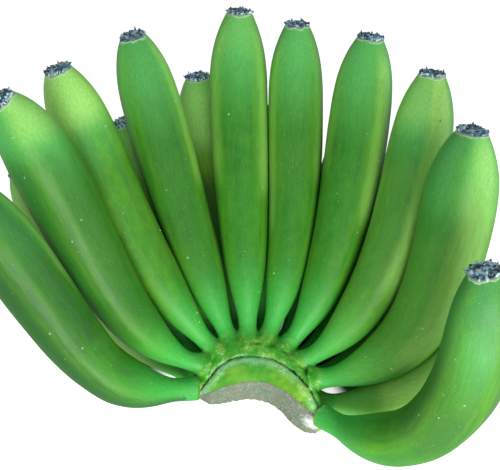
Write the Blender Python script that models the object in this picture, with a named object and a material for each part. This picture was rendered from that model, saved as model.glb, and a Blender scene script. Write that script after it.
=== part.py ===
"""A hand of green bananas, as cut from its bunch: the crown, two rows of fingers and their dried
flower ends. It lies on its back, with the tips turned up. Sizes are in millimetres and become
metres when a mesh is made. +X runs across the hand, +Y from the crown to the tips, +Z up."""

import math
import random

import bmesh
import bpy
import numpy as np

MM = 0.001
JOINT_GAP = 0.3
TRIM_GAP = 0.42
NEIGHBOUR_GAP = 0.8
LEAST_SHARE = 0.2
SEARCH_STEPS = 14

# The crown: four guide lines that run over the arch from the left foot to the right one.
CUT_FOOT = [(-33.5, 1), (-30, -2), (-25, -2.5), (-17, -1), (-8, 0.5), (0, 0),
            (7, -2), (13.5, -7), (20, -14), (26.5, -18.5), (33, -20.5)]
CUT_LIP = [(-34, 1.5, 9), (-31, 0, 17), (-26, -0.5, 24), (-18, 1.5, 27), (-9, 3.5, 28), (0, 4, 28),
           (8, 2, 28), (15, -1.5, 28), (22, -7, 28), (28.5, -12, 27), (34, -15.5, 25)]
SCAR_LINE = [(-35, 0, 13), (-33, 2, 20), (-29, 5.5, 26.5), (-22, 12.5, 31), (-12, 17, 32.5),
             (-1, 17.5, 33), (8.5, 15.5, 33), (17, 11, 32.5), (24.5, 4.5, 31.5), (30.5, -3.5, 29.5),
             (35.5, -14.5, 26)]
BACK_LINE = [(-38.5, 0), (-38, 7), (-34, 15), (-25.5, 22.5), (-14, 27.5), (-1, 29.5),
             (11, 27), (21.5, 19), (29.5, 8.5), (35.5, -3.5), (39, -17)]
CROWN_STATIONS = 31
CUSHION_RISE = 2.2
SCAR_DEPTH = 0.9
BACK_SWELL = 1.5
UNDERCUT = 1.5
# Steps from the lip to the scar, then from the scar to the back: share of the way, share of the rise.
CUSHION_STEPS = ((0.25, 0.75), (0.6, 1.0), (0.88, 0.45))
SHOULDER_STEPS = ((0.18, 0.15), (0.55, 0.1), (0.88, -1.6))
# Steps down the back: share of the scar's height, share of the swell.
BACK_STEPS = ((0.66, 0.5), (0.42, 1.0), (0.2, 0.6))

# The fingers. The neck keeps its length; the body takes up the rest of each finger.
NECK_LENGTH = 26
FINGER_RADII = [(0, 5.6), (7, 5.3), (15, 5.4), (26, 8.2), (36, 10.5), (48, 12.5), (65, 14.3), (93, 16.3),
                (123, 17.5), (150, 17.9), (165, 17.6), (178, 16.4), (186, 14.9), (194, 12.6), (200, 10.2),
                (205, 7.6)]
GIRTH_FROM = 25
GIRTH_FULL = 60
RIDGES = 5
RIDGE_RISE = 0.035
TIP_SETBACK = 2.0
TIP_RADIUS = FINGER_RADII[-1][1]
SIDES = 15
RINGS = 17
RING_CROWDING = 0.07
FRONT_ROOT_HEIGHT = 24
BACK_ROOT_HEIGHT = 9

# root: where the neck starts, across and along. leave: heading and rise in degrees, and how far
# the neck holds them. tip: the flower end. end: heading, rise and hold there. neck, girth: thickness.
FRONT_ROW = [
    dict(root=(-36, 1), leave=(-168, 18, 64), tip=(-155, 77, 136), end=(134, 40, 116), neck=1.25, girth=1.0),
    dict(root=(-31, 15), leave=(179, 26, 61), tip=(-132, 114, 156), end=(150, 57, 62), neck=1.0, girth=1.01),
    dict(root=(-24, 22), leave=(139, 26, 70), tip=(-112, 155, 124), end=(120, 55, 69), neck=1.0, girth=1.0),
    dict(root=(-15, 26), leave=(116, 18, 66), tip=(-73, 185, 114), end=(112, 56, 66), neck=1.0, girth=1.0),
    dict(root=(-6, 28), leave=(91, 22, 60), tip=(-11, 207, 108), end=(86, 49, 71), neck=1.0, girth=1.0),
    dict(root=(4, 28), leave=(66, 18, 61), tip=(23, 198, 108), end=(88, 52, 69), neck=1.0, girth=0.94),
    dict(root=(14, 24), leave=(40, 19, 57), tip=(65, 185, 113), end=(80, 51, 54), neck=1.0, girth=1.0),
    dict(root=(23, 16), leave=(16, 26, 62), tip=(97, 155, 120), end=(83, 48, 63), neck=1.0, girth=0.99),
    dict(root=(30, 6), leave=(2, 11, 80), tip=(110, 104, 143), end=(80, 48, 66), neck=1.08, girth=1.08),
    dict(root=(36, -15), leave=(-40, 24, 91), tip=(102, 17, 164), end=(113, 52, 41), neck=1.25, girth=1.01),
]
BACK_ROW = [
    dict(root=(-34, 10), leave=(157, 9, 52), tip=(-136, 111, 89), end=(132, 50, 62), neck=1.0, girth=0.95),
    dict(root=(-29, 18), leave=(135, 5, 80), tip=(-117, 134, 61), end=(143, 59, 63), neck=1.0, girth=0.92),
    dict(root=(-20, 24), leave=(117, 8, 56), tip=(-83, 161, 59), end=(126, 58, 67), neck=1.0, girth=0.95),
    dict(root=(-10, 28), leave=(98, 9, 57), tip=(-38, 194, 60), end=(97, 54, 71), neck=1.0, girth=0.98),
    dict(root=(0, 28), leave=(77, 6, 81), tip=(6, 174, 52), end=(96, 54, 55), neck=1.0, girth=0.95),
    dict(root=(10, 26), leave=(53, 7, 69), tip=(60, 160, 52), end=(77, 55, 58), neck=1.0, girth=0.95),
    dict(root=(19, 20), leave=(29, 9, 58), tip=(99, 132, 54), end=(69, 55, 65), neck=1.0, girth=0.95),
    dict(root=(27, 11), leave=(10, 7, 63), tip=(124, 102, 59), end=(72, 58, 67), neck=1.0, girth=0.95),
    dict(root=(34, -4), leave=(-4, 10, 60), tip=(133, 27, 74), end=(56, 50, 50), neck=1.1, girth=0.95),
]

# The dried flower end: a low shrivelled cap with a ragged crest.
CAP_SIDES = 10
CAP_RINGS = [(6.3, 0.0), (6.8, 0.9), (5.5, 1.9), (2.6, 1.3)]
CAP_RAGGED = 0.9
CREST_LEVEL = 2
SPIKE_RISE = 2.0
SEED = 7

GREEN_FRUIT = ((0.075, 0.30, 0.035, 1.0), 0.42)
CROWN_GREEN = ((0.16, 0.36, 0.06, 1.0), 0.45)
DRIED_BROWN = ((0.035, 0.032, 0.036, 1.0), 0.85)


def clear_scene():
    for item in list(bpy.data.objects):
        bpy.data.objects.remove(item, do_unlink=True)


def finish(name, colour, roughness):
    material = bpy.data.materials.new(name)
    material.use_nodes = True
    shader = material.node_tree.nodes["Principled BSDF"]
    shader.inputs["Base Color"].default_value = colour
    shader.inputs["Roughness"].default_value = roughness
    shader.inputs["Metallic"].default_value = 0.0
    return material


def direction(heading, rise):
    across = math.cos(math.radians(rise))
    turn = math.radians(heading)
    return np.array([math.cos(turn) * across, math.sin(turn) * across, math.sin(math.radians(rise))])


def on_guide(points, share):
    """A point of the smooth line through the guide's points, at a share of its length."""
    points = np.array(points, float)
    last = len(points) - 1
    place = share * last
    start = min(int(place), last - 1)
    t = place - start
    before = points[max(start - 1, 0)]
    here = points[start]
    there = points[start + 1]
    after = points[min(start + 2, last)]
    bend = 2 * before - 5 * here + 4 * there - after
    swing = 3 * here - before - 3 * there + after
    return 0.5 * (2 * here + (there - before) * t + bend * t ** 2 + swing * t ** 3)


def crown_section(share):
    """One closed ring across the arch: up the cut face, over the cushion, down the back."""
    foot = np.append(on_guide(CUT_FOOT, share), 0.0)
    lip = on_guide(CUT_LIP, share)
    scar = on_guide(SCAR_LINE, share)
    back = on_guide(BACK_LINE, share)
    outward = back - scar[:2]
    outward = outward / np.linalg.norm(outward)
    ring = [foot, foot + (lip - foot) * 0.5, lip]
    for step, lift in CUSHION_STEPS:
        point = lip + (scar - lip) * step
        point[2] += CUSHION_RISE * lift
        ring.append(point)
    ring.append(scar - np.array([0, 0, SCAR_DEPTH]))
    for step, lift in SHOULDER_STEPS:
        plan = scar[:2] + (back - scar[:2]) * step
        ring.append(np.append(plan, scar[2] + CUSHION_RISE * lift))
    for height, swell in BACK_STEPS:
        ring.append(np.append(back + outward * BACK_SWELL * swell, scar[2] * height))
    ring.append(np.append(back - outward * UNDERCUT, 0.0))
    return ring


def solid_from_rings(name, rings, material, caps=None):
    """Closed mesh over rings of equal count. caps: a middle point for each end, or flat ends."""
    mesh = bpy.data.meshes.new(name)
    bm = bmesh.new()
    loops = [[bm.verts.new(np.array(point) * MM) for point in ring] for ring in rings]
    count = len(loops[0])
    for low, high in zip(loops, loops[1:]):
        for side in range(count):
            after = (side + 1) % count
            bm.faces.new((low[side], low[after], high[after], high[side]))
    for end, loop in enumerate((loops[0], loops[-1])):
        if caps is None:
            bm.faces.new(loop)
            continue
        middle = bm.verts.new(np.array(caps[end]) * MM)
        for side in range(count):
            bm.faces.new((loop[side], loop[(side + 1) % count], middle))
    bmesh.ops.triangulate(bm, faces=bm.faces[:])
    bmesh.ops.recalc_face_normals(bm, faces=bm.faces[:])
    bm.to_mesh(mesh)
    bm.free()
    mesh.shade_smooth()
    mesh.set_sharp_from_angle(angle=math.radians(50))
    mesh.materials.append(material)
    item = bpy.data.objects.new(name, mesh)
    bpy.context.collection.objects.link(item)
    return item


def centre_line(finger, height, samples=201):
    """Evenly spaced points from the root to the tip, with the distance along them."""
    root = np.array([*finger["root"], height], float)
    tip = np.array(finger["tip"], float)
    neck = root + direction(*finger["leave"][:2]) * finger["leave"][2]
    nose = tip - direction(*finger["end"][:2]) * finger["end"][2]
    t = np.linspace(0, 1, samples)[:, None]
    curve = (1 - t) ** 3 * root + 3 * (1 - t) ** 2 * t * neck + 3 * (1 - t) * t ** 2 * nose + t ** 3 * tip
    run = np.append(0, np.cumsum(np.linalg.norm(np.diff(curve, axis=0), axis=1)))
    even = np.linspace(0, run[-1] - TIP_SETBACK, samples)
    return np.array([np.interp(even, run, curve[:, axis]) for axis in range(3)]).T, even


def radius_at(run, length, neck, girth):
    marks = np.array(FINGER_RADII, float)
    stretch = (length - NECK_LENGTH) / (marks[-1, 0] - NECK_LENGTH)
    past_neck = np.maximum(marks[:, 0] - NECK_LENGTH, 0)
    places = np.minimum(marks[:, 0], NECK_LENGTH) + past_neck * stretch
    fullness = np.interp(run, (0, GIRTH_FROM, GIRTH_FULL), (neck, neck, girth))
    return np.interp(run, places, marks[:, 1]) * fullness


def finger_rings(line, run, neck, girth):
    """Ring middles, ring radii and ring points. Rings stand closer at the neck and the tip."""
    length = run[-1]
    spread = np.linspace(0, 1, RINGS)
    spread = spread - RING_CROWDING * np.sin(2 * math.pi * spread)
    places = spread * length
    middles = np.array([np.interp(places, run, line[:, axis]) for axis in range(3)]).T
    heading = np.gradient(line, axis=0)
    heading = np.array([np.interp(places, run, heading[:, axis]) for axis in range(3)]).T
    heading /= np.linalg.norm(heading, axis=1)[:, None]
    radii = radius_at(places, length, neck, girth)
    top = np.array([0.0, 0.0, 1.0])
    rings = []
    for middle, way, radius in zip(middles, heading, radii):
        top = top - way * (top @ way)
        top = top / np.linalg.norm(top)
        side = np.cross(way, top)
        ring = []
        for corner in range(SIDES):
            turn = 2 * math.pi * corner / SIDES
            reach = radius * (1 + RIDGE_RISE * math.cos(RIDGES * turn))
            ring.append(middle + reach * (math.cos(turn) * top + math.sin(turn) * side))
        rings.append(ring)
    return middles, radii, np.array(rings)


def pressed(shapes, lines):
    """Pull each ring point towards its own middle until it is clear of every other finger."""
    results = []
    for own, (middles, radii, rings) in enumerate(shapes):
        points = rings.reshape(-1, 3)
        centres = np.repeat(middles, SIDES, axis=0)
        own_radii = np.repeat(radii, SIDES)
        reach = points - centres
        others = [line for index, line in enumerate(lines) if index != own]
        other_points = np.concatenate([line[0][::2] for line in others])
        other_radii = np.concatenate([line[1][::2] for line in others])

        def room(share):
            trial = centres + reach * share[:, None]
            apart = np.linalg.norm(trial[:, None] - other_points[None], axis=2) - other_radii[None]
            return apart.min(axis=1) - (np.linalg.norm(trial - centres, axis=1) - own_radii)

        free = room(np.ones(len(points))) >= NEIGHBOUR_GAP
        low = np.full(len(points), LEAST_SHARE)
        high = np.ones(len(points))
        for _ in range(SEARCH_STEPS):
            middle = (low + high) / 2
            clear = room(middle) >= NEIGHBOUR_GAP
            low = np.where(clear, middle, low)
            high = np.where(clear, high, middle)
        share = np.where(free, 1.0, low)
        moved = centres + reach * share[:, None]
        moved[:, 2] = np.maximum(moved[:, 2], 0.0)
        results.append(moved.reshape(rings.shape))
    return results


def make_crown(material):
    rings = [crown_section(step / (CROWN_STATIONS - 1)) for step in range(CROWN_STATIONS)]
    return solid_from_rings("crown", rings, material)


def make_cutter(crown):
    """The crown, a little larger, to trim the necks that grow out of it."""
    mesh = crown.data.copy()
    bm = bmesh.new()
    bm.from_mesh(mesh)
    bm.normal_update()
    for vertex, normal in [(vertex, vertex.normal.copy()) for vertex in bm.verts]:
        vertex.co += normal * (TRIM_GAP * MM)
    bm.to_mesh(mesh)
    bm.free()
    cutter = bpy.data.objects.new("crown_cutter", mesh)
    bpy.context.collection.objects.link(cutter)
    cutter.hide_render = True
    cutter.display_type = "WIRE"
    return cutter


def trim_to_crown(finger, cutter):
    cut = finger.modifiers.new("trim at the crown", "BOOLEAN")
    cut.operation = "DIFFERENCE"
    cut.solver = "EXACT"
    cut.object = cutter


def make_blossom_end(name, line, radius, material, draw):
    """A ragged cap on the blunt tip, a hair's breadth off it, with one spike at its edge."""
    way = line[-1] - line[-4]
    way = way / np.linalg.norm(way)
    top = np.array([0.0, 0.0, 1.0])
    top = top - way * (top @ way)
    top = top / np.linalg.norm(top)
    side = np.cross(way, top)
    spike = draw.randrange(CAP_SIDES)
    start = line[-1] + way * JOINT_GAP
    rings = []
    for level, (wide, rise) in enumerate(CAP_RINGS):
        crest = level == CREST_LEVEL
        ring = []
        for corner in range(CAP_SIDES):
            turn = 2 * math.pi * corner / CAP_SIDES
            ragged = draw.uniform(-CAP_RAGGED, CAP_RAGGED)
            reach = wide * radius / TIP_RADIUS
            height = rise
            if crest:
                reach += ragged / 2
                height += abs(ragged) / 2
            if crest and corner == spike:
                height += SPIKE_RISE
            ring.append(start + way * height + reach * (math.cos(turn) * top + math.sin(turn) * side))
        rings.append(ring)
    ends = (start, start + way * CAP_RINGS[-1][1])
    return solid_from_rings(name, rings, material, ends)


def make_hand():
    clear_scene()
    fruit = finish("green_fruit", *GREEN_FRUIT)
    cushion = finish("crown_green", *CROWN_GREEN)
    dried = finish("dried_brown", *DRIED_BROWN)
    crown = make_crown(cushion)
    cutter = make_cutter(crown)

    names = []
    shapes = []
    lines = []
    rows = (("front", FRONT_ROW, FRONT_ROOT_HEIGHT), ("back", BACK_ROW, BACK_ROOT_HEIGHT))
    for row, fingers, height in rows:
        for number, finger in enumerate(fingers, 1):
            line, run = centre_line(finger, height)
            names.append(f"{row}_{number:02d}")
            fullness = (finger["neck"], finger["girth"])
            shapes.append(finger_rings(line, run, *fullness))
            lines.append((line, radius_at(run, run[-1], *fullness)))

    items = [crown, cutter]
    draw = random.Random(SEED)
    for name, rings, (line, radii) in zip(names, pressed(shapes, lines), lines):
        finger = solid_from_rings("finger_" + name, rings, fruit, (line[0], line[-1]))
        trim_to_crown(finger, cutter)
        items.append(finger)
        items.append(make_blossom_end("blossom_end_" + name, line, radii[-1], dried, draw))

    # The whole hand is moved so that its origin is at the middle of its footprint.
    bpy.context.view_layer.update()
    corners = np.array([vertex.co for item in items if item is not cutter for vertex in item.data.vertices])
    centre = (corners.min(axis=0) + corners.max(axis=0)) / 2
    base = bpy.data.objects.new("hand", None)
    bpy.context.collection.objects.link(base)
    base.location = (-centre[0], -centre[1], 0.0)
    for item in items:
        item.parent = base
    return items


make_hand()
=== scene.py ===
# A hand of green bananas, dressed for its picture: fine peel, moist crown, dried flower ends, dew.
# Lengths in the dictionaries are millimetres, in the crown's own frame, and become metres in a mesh.
import math
import random

import bmesh
import bpy
import numpy as np
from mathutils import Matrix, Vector, noise
from mathutils.bvhtree import BVHTree
from mathutils.kdtree import KDTree


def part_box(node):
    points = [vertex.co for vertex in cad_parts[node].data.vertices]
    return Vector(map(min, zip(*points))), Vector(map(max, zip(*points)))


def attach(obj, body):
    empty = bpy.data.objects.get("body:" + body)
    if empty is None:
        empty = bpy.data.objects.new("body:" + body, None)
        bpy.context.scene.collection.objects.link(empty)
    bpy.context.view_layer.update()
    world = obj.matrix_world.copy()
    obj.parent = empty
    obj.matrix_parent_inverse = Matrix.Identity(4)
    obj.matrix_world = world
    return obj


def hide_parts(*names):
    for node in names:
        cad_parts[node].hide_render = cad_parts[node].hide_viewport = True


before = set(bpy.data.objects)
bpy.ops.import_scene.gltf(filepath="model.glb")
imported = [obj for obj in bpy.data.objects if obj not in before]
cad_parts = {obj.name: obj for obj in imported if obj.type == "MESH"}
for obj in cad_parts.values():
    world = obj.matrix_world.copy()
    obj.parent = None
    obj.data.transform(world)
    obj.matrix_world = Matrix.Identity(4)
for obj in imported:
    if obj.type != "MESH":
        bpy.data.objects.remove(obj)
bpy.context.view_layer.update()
mm = 0.001


# Small helpers for node trees and meshes

class Net:  # a node tree with short ways to add to it
    def __init__(self, tree):
        self.tree = tree

    def fill(self, node, values):
        for key, value in values.items():
            if isinstance(value, bpy.types.NodeSocket):
                self.tree.links.new(value, node.inputs[key])
            else:
                node.inputs[key].default_value = value

    def node(self, kind, values=None, **settings):
        node = self.tree.nodes.new(kind)
        for name, value in settings.items():
            setattr(node, name, value)
        self.fill(node, values or {})
        row, column = divmod(len(self.tree.nodes), 12)
        node.location = (180 * column, -220 * row)
        return node

    def out(self, kind, values=None, output=0, **settings):
        return self.node(kind, values, **settings).outputs[output]

    def geo(self, kind, values=None, **settings):
        return self.out("GeometryNode" + kind, values, **settings)

    def calc(self, operation, *values):
        return self.out("ShaderNodeMath", dict(enumerate(values)), operation=operation)

    def plus(self, *values):
        return self.calc("ADD", *values)

    def minus(self, *values):
        return self.calc("SUBTRACT", *values)

    def times(self, *values):
        return self.calc("MULTIPLY", *values)

    def vector(self, operation, *values, output=0):
        return self.out("ShaderNodeVectorMath", dict(enumerate(values)), output, operation=operation)

    def scaled(self, vector, factor):
        return self.out("ShaderNodeVectorMath", {0: vector, "Scale": factor}, operation="SCALE")

    def remap(self, value, low, high, toLow=0.0, toHigh=1.0, smooth=True):
        kind = "SMOOTHSTEP" if smooth else "LINEAR"
        values = {"Value": value, 1: low, 2: high, 3: toLow, 4: toHigh}
        return self.out("ShaderNodeMapRange", values, interpolation_type=kind)

    def blend(self, share, first, second):
        return self.out("ShaderNodeMix", {0: share, 2: first, 3: second})

    def mix(self, share, first, second, way="MIX"):
        values = {0: share, 6: first, 7: second}
        return self.out("ShaderNodeMix", values, 2, data_type="RGBA", blend_type=way)

    def noise(self, vector, scale, detail=2.0, roughness=0.5, distortion=0.0):
        values = {"Vector": vector, "Scale": scale, "Detail": detail, "Roughness": roughness}
        return self.out("ShaderNodeTexNoise", dict(values, Distortion=distortion))

    def cells(self, vector, scale):
        return self.out("ShaderNodeTexVoronoi", {"Vector": vector, "Scale": scale})

    def spot(self):
        return self.out("ShaderNodeTexCoord", output="Object")

    def read(self, name, output="Fac"):
        return self.out("ShaderNodeAttribute", output=output, attribute_name=name)

    def bump(self, strength, distance, height):
        return self.out("ShaderNodeBump", {"Strength": strength, "Distance": distance, "Height": height})

    def named(self, name, kind="FLOAT"):
        return self.geo("InputNamedAttribute", {"Name": name}, data_type=kind)

    def store(self, geometry, name, value, kind="FLOAT"):
        values = {"Geometry": geometry, "Name": name, "Value": value}
        return self.geo("StoreNamedAttribute", values, data_type=kind)

    def moved(self, geometry, offset):
        return self.geo("SetPosition", {"Geometry": geometry, "Offset": offset})

    def ball(self, subdivisions):
        return self.geo("MeshIcoSphere", {"Radius": 1.0, "Subdivisions": subdivisions})

    def scatter(self, points, instance, rotation, scale):
        values = {"Points": points, "Instance": instance, "Rotation": rotation, "Scale": scale}
        return self.geo("InstanceOnPoints", values)

    def real(self, geometry):
        return self.geo("RealizeInstances", {"Geometry": geometry})

    def closeDressed(self, geometry, material):
        values = {"Geometry": geometry, "Material": material}
        self.node("NodeGroupOutput", {"Geometry": self.geo("SetMaterial", values)})
        return self.tree


def makeTree(name, kind, inputs, outputs):
    tree = bpy.data.node_groups.new(name, kind)
    for way, sockets in (("INPUT", inputs), ("OUTPUT", outputs)):
        for label, socketKind in sockets.items():
            tree.interface.new_socket(label, in_out=way, socket_type="NodeSocket" + socketKind)
    net = Net(tree)
    return net, net.node("NodeGroupInput").outputs


def growthTree(name, **inputs):  # a Geometry Nodes tree from geometry to geometry
    geometry = dict(Geometry="Geometry")
    return makeTree(name, "GeometryNodeTree", dict(geometry, **inputs), geometry)


def addObject(name, data):
    item = bpy.data.objects.new(name, data)
    bpy.context.collection.objects.link(item)
    return item


def bake(carrier):  # a plain mesh of what the modifiers show
    depsgraph = bpy.context.evaluated_depsgraph_get()
    shown = carrier.evaluated_get(depsgraph)
    mesh = bpy.data.meshes.new_from_object(shown, preserve_all_data_layers=True, depsgraph=depsgraph)
    bpy.data.objects.remove(carrier)
    return mesh


def grow(name, guide, tree, values):  # run a Geometry Nodes tree on a guide mesh
    carrier = addObject(name + "_guide", guide)
    modifier = carrier.modifiers.new("grow", "NODES")
    modifier.node_group = tree
    for item in tree.interface.items_tree:
        if item.in_out == "INPUT" and item.name in values:
            modifier[item.identifier] = values[item.name]
    return addObject(name, bake(carrier))


def readLayer(mesh, name="position"):
    layer = mesh.attributes[name]
    if layer.data_type == "FLOAT_VECTOR":
        flat = np.zeros(len(mesh.vertices) * 3)
        layer.data.foreach_get("vector", flat)
        return flat.reshape(-1, 3)
    flat = np.zeros(len(mesh.vertices))
    layer.data.foreach_get("value", flat)
    return flat


def readNormals(mesh):
    flat = np.zeros(len(mesh.vertices) * 3)
    mesh.vertex_normals.foreach_get("vector", flat)
    return flat.reshape(-1, 3)


def writeLayers(mesh, **layers):
    for name, values in layers.items():
        values = np.asarray(values, np.float32)
        kind, part = ("FLOAT_VECTOR", "vector") if values.ndim == 2 else ("FLOAT", "value")
        layer = mesh.attributes.get(name) or mesh.attributes.new(name, kind, "POINT")
        layer.data.foreach_set(part, values.ravel())


def writePoints(mesh, points):
    mesh.vertices.foreach_set("co", np.asarray(points, np.float32).ravel())
    mesh.update()


def faceOutwards(mesh):
    bm = bmesh.new()
    bm.from_mesh(mesh)
    bmesh.ops.recalc_face_normals(bm, faces=bm.faces[:])
    bm.to_mesh(mesh)
    bm.free()
    mesh.shade_smooth()


def eased(share):
    return share * share * (3 - 2 * share)


def unit(vectors):
    return vectors / np.linalg.norm(vectors, axis=-1, keepdims=True)


# The crown's guide lines and the fingers' rows, as the solids have them

crownShape = dict(
    cutFoot=[(-33.5, 1, 0), (-30, -2, 0), (-25, -2.5, 0), (-17, -1, 0), (-8, 0.5, 0), (0, 0, 0),
             (7, -2, 0), (13.5, -7, 0), (20, -14, 0), (26.5, -18.5, 0), (33, -20.5, 0)],
    cutLip=[(-34, 1.5, 9), (-31, 0, 17), (-26, -0.5, 24), (-18, 1.5, 27), (-9, 3.5, 28), (0, 4, 28),
            (8, 2, 28), (15, -1.5, 28), (22, -7, 28), (28.5, -12, 27), (34, -15.5, 25)],
    scarLine=[(-35, 0, 13), (-33, 2, 20), (-29, 5.5, 26.5), (-22, 12.5, 31), (-12, 17, 32.5), (-1, 17.5, 33),
              (8.5, 15.5, 33), (17, 11, 32.5), (24.5, 4.5, 31.5), (30.5, -3.5, 29.5), (35.5, -14.5, 26)],
    backLine=[(-38.5, 0, 0), (-38, 7, 0), (-34, 15, 0), (-25.5, 22.5, 0), (-14, 27.5, 0), (-1, 29.5, 0),
              (11, 27, 0), (21.5, 19, 0), (29.5, 8.5, 0), (35.5, -3.5, 0), (39, -17, 0)],
    solidStations=31, stations=121, cushionRise=2.2, scarDepth=0.9, backSwell=1.5, undercut=1.5,
    cushionSteps=((0.25, 0.75), (0.6, 1.0), (0.88, 0.45)),
    shoulderSteps=((0.18, 0.15), (0.55, 0.1), (0.88, -1.6)),
    backSteps=((0.66, 0.5), (0.42, 1.0), (0.2, 0.6)),
)

# Each finger: where its neck starts, how it leaves (heading, rise and hold, as for a curve's handle),
# its tip, how it ends (the same), and how full its neck and its body are.
frontRow = [
    ((-36, 1), (-168, 18, 64), (-155, 77, 136), (134, 40, 116), 1.25, 1.0),
    ((-31, 15), (179, 26, 61), (-132, 114, 156), (150, 57, 62), 1.0, 1.01),
    ((-24, 22), (139, 26, 70), (-112, 155, 124), (120, 55, 69), 1.0, 1.0),
    ((-15, 26), (116, 18, 66), (-73, 185, 114), (112, 56, 66), 1.0, 1.0),
    ((-6, 28), (91, 22, 60), (-11, 207, 108), (86, 49, 71), 1.0, 1.0),
    ((4, 28), (66, 18, 61), (23, 198, 108), (88, 52, 69), 1.0, 0.94),
    ((14, 24), (40, 19, 57), (65, 185, 113), (80, 51, 54), 1.0, 1.0),
    ((23, 16), (16, 26, 62), (97, 155, 120), (83, 48, 63), 1.0, 0.99),
    ((30, 6), (2, 11, 80), (110, 104, 143), (80, 48, 66), 1.08, 1.08),
    ((36, -15), (-40, 24, 91), (102, 17, 164), (113, 52, 41), 1.25, 1.01),
]
backRow = [
    ((-34, 10), (157, 9, 52), (-136, 111, 89), (132, 50, 62), 1.0, 0.95),
    ((-29, 18), (135, 5, 80), (-117, 134, 61), (143, 59, 63), 1.0, 0.92),
    ((-20, 24), (117, 8, 56), (-83, 161, 59), (126, 58, 67), 1.0, 0.95),
    ((-10, 28), (98, 9, 57), (-38, 194, 60), (97, 54, 71), 1.0, 0.98),
    ((0, 28), (77, 6, 81), (6, 174, 52), (96, 54, 55), 1.0, 0.95),
    ((10, 26), (53, 7, 69), (60, 160, 52), (77, 55, 58), 1.0, 0.95),
    ((19, 20), (29, 9, 58), (99, 132, 54), (69, 55, 65), 1.0, 0.95),
    ((27, 11), (10, 7, 63), (124, 102, 59), (72, 58, 67), 1.0, 0.95),
    ((34, -4), (-4, 10, 60), (133, 27, 74), (56, 50, 50), 1.1, 0.95),
]

fingerShape = dict(
    rows=(("front", frontRow, 24), ("back", backRow, 9)),
    parts=("root", "leave", "tip", "end", "neck", "girth"),
    radii=[(0, 5.6), (7, 5.3), (15, 5.4), (26, 8.2), (36, 10.5), (48, 12.5), (65, 14.3), (93, 16.3),
           (123, 17.5), (150, 17.9), (165, 17.6), (178, 16.4), (186, 14.9), (194, 12.6), (200, 10.2),
           (205, 7.6)],
    neckLength=26, girthFrom=25, girthFull=60, tipSetback=2.0, roundOff=3.0,
    samples=401, rings=128, crowding=0.07, sides=72,
    noseRings=((0.25, 0.975), (0.5, 0.9), (0.7, 0.66), (0.8, 0.3), (0.82, 0.02)),
    ridgeRise=0.055, ridgeFrom=12, ridgeFull=55, bellyWarp=0.35, twist=0.2,
    dentDepth=0.5, dentScale=22.0, neighbourGap=0.5, nearEnough=46, pressSteps=11, leastShare=0.2,
    blockSize=2000, coarseStep=20, pressStep=6, bandSoft=0.12,
)


def direction(heading, rise):
    across = math.cos(math.radians(rise))
    turn = math.radians(heading)
    return np.array([math.cos(turn) * across, math.sin(turn) * across, math.sin(math.radians(rise))])


def onGuide(points, share):  # a point of the smooth line through the guide's points
    points = np.array(points, float)
    last = len(points) - 1
    place = share * last
    start = min(int(place), last - 1)
    t = place - start
    before, here, there = points[max(start - 1, 0)], points[start], points[start + 1]
    after = points[min(start + 2, last)]
    bend = 2 * before - 5 * here + 4 * there - after
    swing = 3 * here - before - 3 * there + after
    return 0.5 * (2 * here + (there - before) * t + bend * t ** 2 + swing * t ** 3)


def guideLine(name, count):
    return np.array([onGuide(crownShape[name], step / (count - 1)) for step in range(count)])


def crownSection(share):  # one closed ring over the arch: cut face, cushion, scar, shoulder, back
    shape = crownShape
    foot, lip = onGuide(shape["cutFoot"], share), onGuide(shape["cutLip"], share)
    scar, back = onGuide(shape["scarLine"], share), onGuide(shape["backLine"], share)
    outward = unit((back - scar) * (1, 1, 0))
    up = np.array([0.0, 0.0, 1.0])
    ring = [foot, (foot + lip) / 2, lip]
    for step, lift in shape["cushionSteps"]:
        ring.append(lip + (scar - lip) * step + up * shape["cushionRise"] * lift)
    ring.append(scar - up * shape["scarDepth"])
    for step, lift in shape["shoulderSteps"]:
        plan = scar + (back - scar) * step
        ring.append(plan * (1, 1, 0) + up * (scar[2] + shape["cushionRise"] * lift))
    for height, swell in shape["backSteps"]:
        ring.append(back + outward * shape["backSwell"] * swell + up * scar[2] * height)
    ring.append(back - outward * shape["undercut"])
    return np.array(ring)


def crownRings(count):
    return np.array([crownSection(step / (count - 1)) for step in range(count)])


# The crown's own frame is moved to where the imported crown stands
solidRings = crownRings(crownShape["solidStations"])
shift = np.array(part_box("crown")[0]) / mm - solidRings.reshape(-1, 3).min(axis=0)
print("crown frame stands at", [round(float(value), 2) for value in shift])


def interpolated(places, run, line):
    return np.array([np.interp(places, run, line[:, axis]) for axis in range(3)]).T


def centreLine(finger, height):
    shape = fingerShape
    root = np.array([*finger["root"], height], float)
    tip = np.array(finger["tip"], float)
    neck = root + direction(*finger["leave"][:2]) * finger["leave"][2]
    nose = tip - direction(*finger["end"][:2]) * finger["end"][2]
    t = np.linspace(0, 1, shape["samples"])[:, None]
    curve = (1 - t) ** 3 * root + 3 * (1 - t) ** 2 * t * neck + 3 * (1 - t) * t ** 2 * nose + t ** 3 * tip
    run = np.append(0, np.cumsum(np.linalg.norm(np.diff(curve, axis=0), axis=1)))
    even = np.linspace(0, run[-1] - shape["tipSetback"], shape["samples"])
    return interpolated(even, run, curve), even


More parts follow.
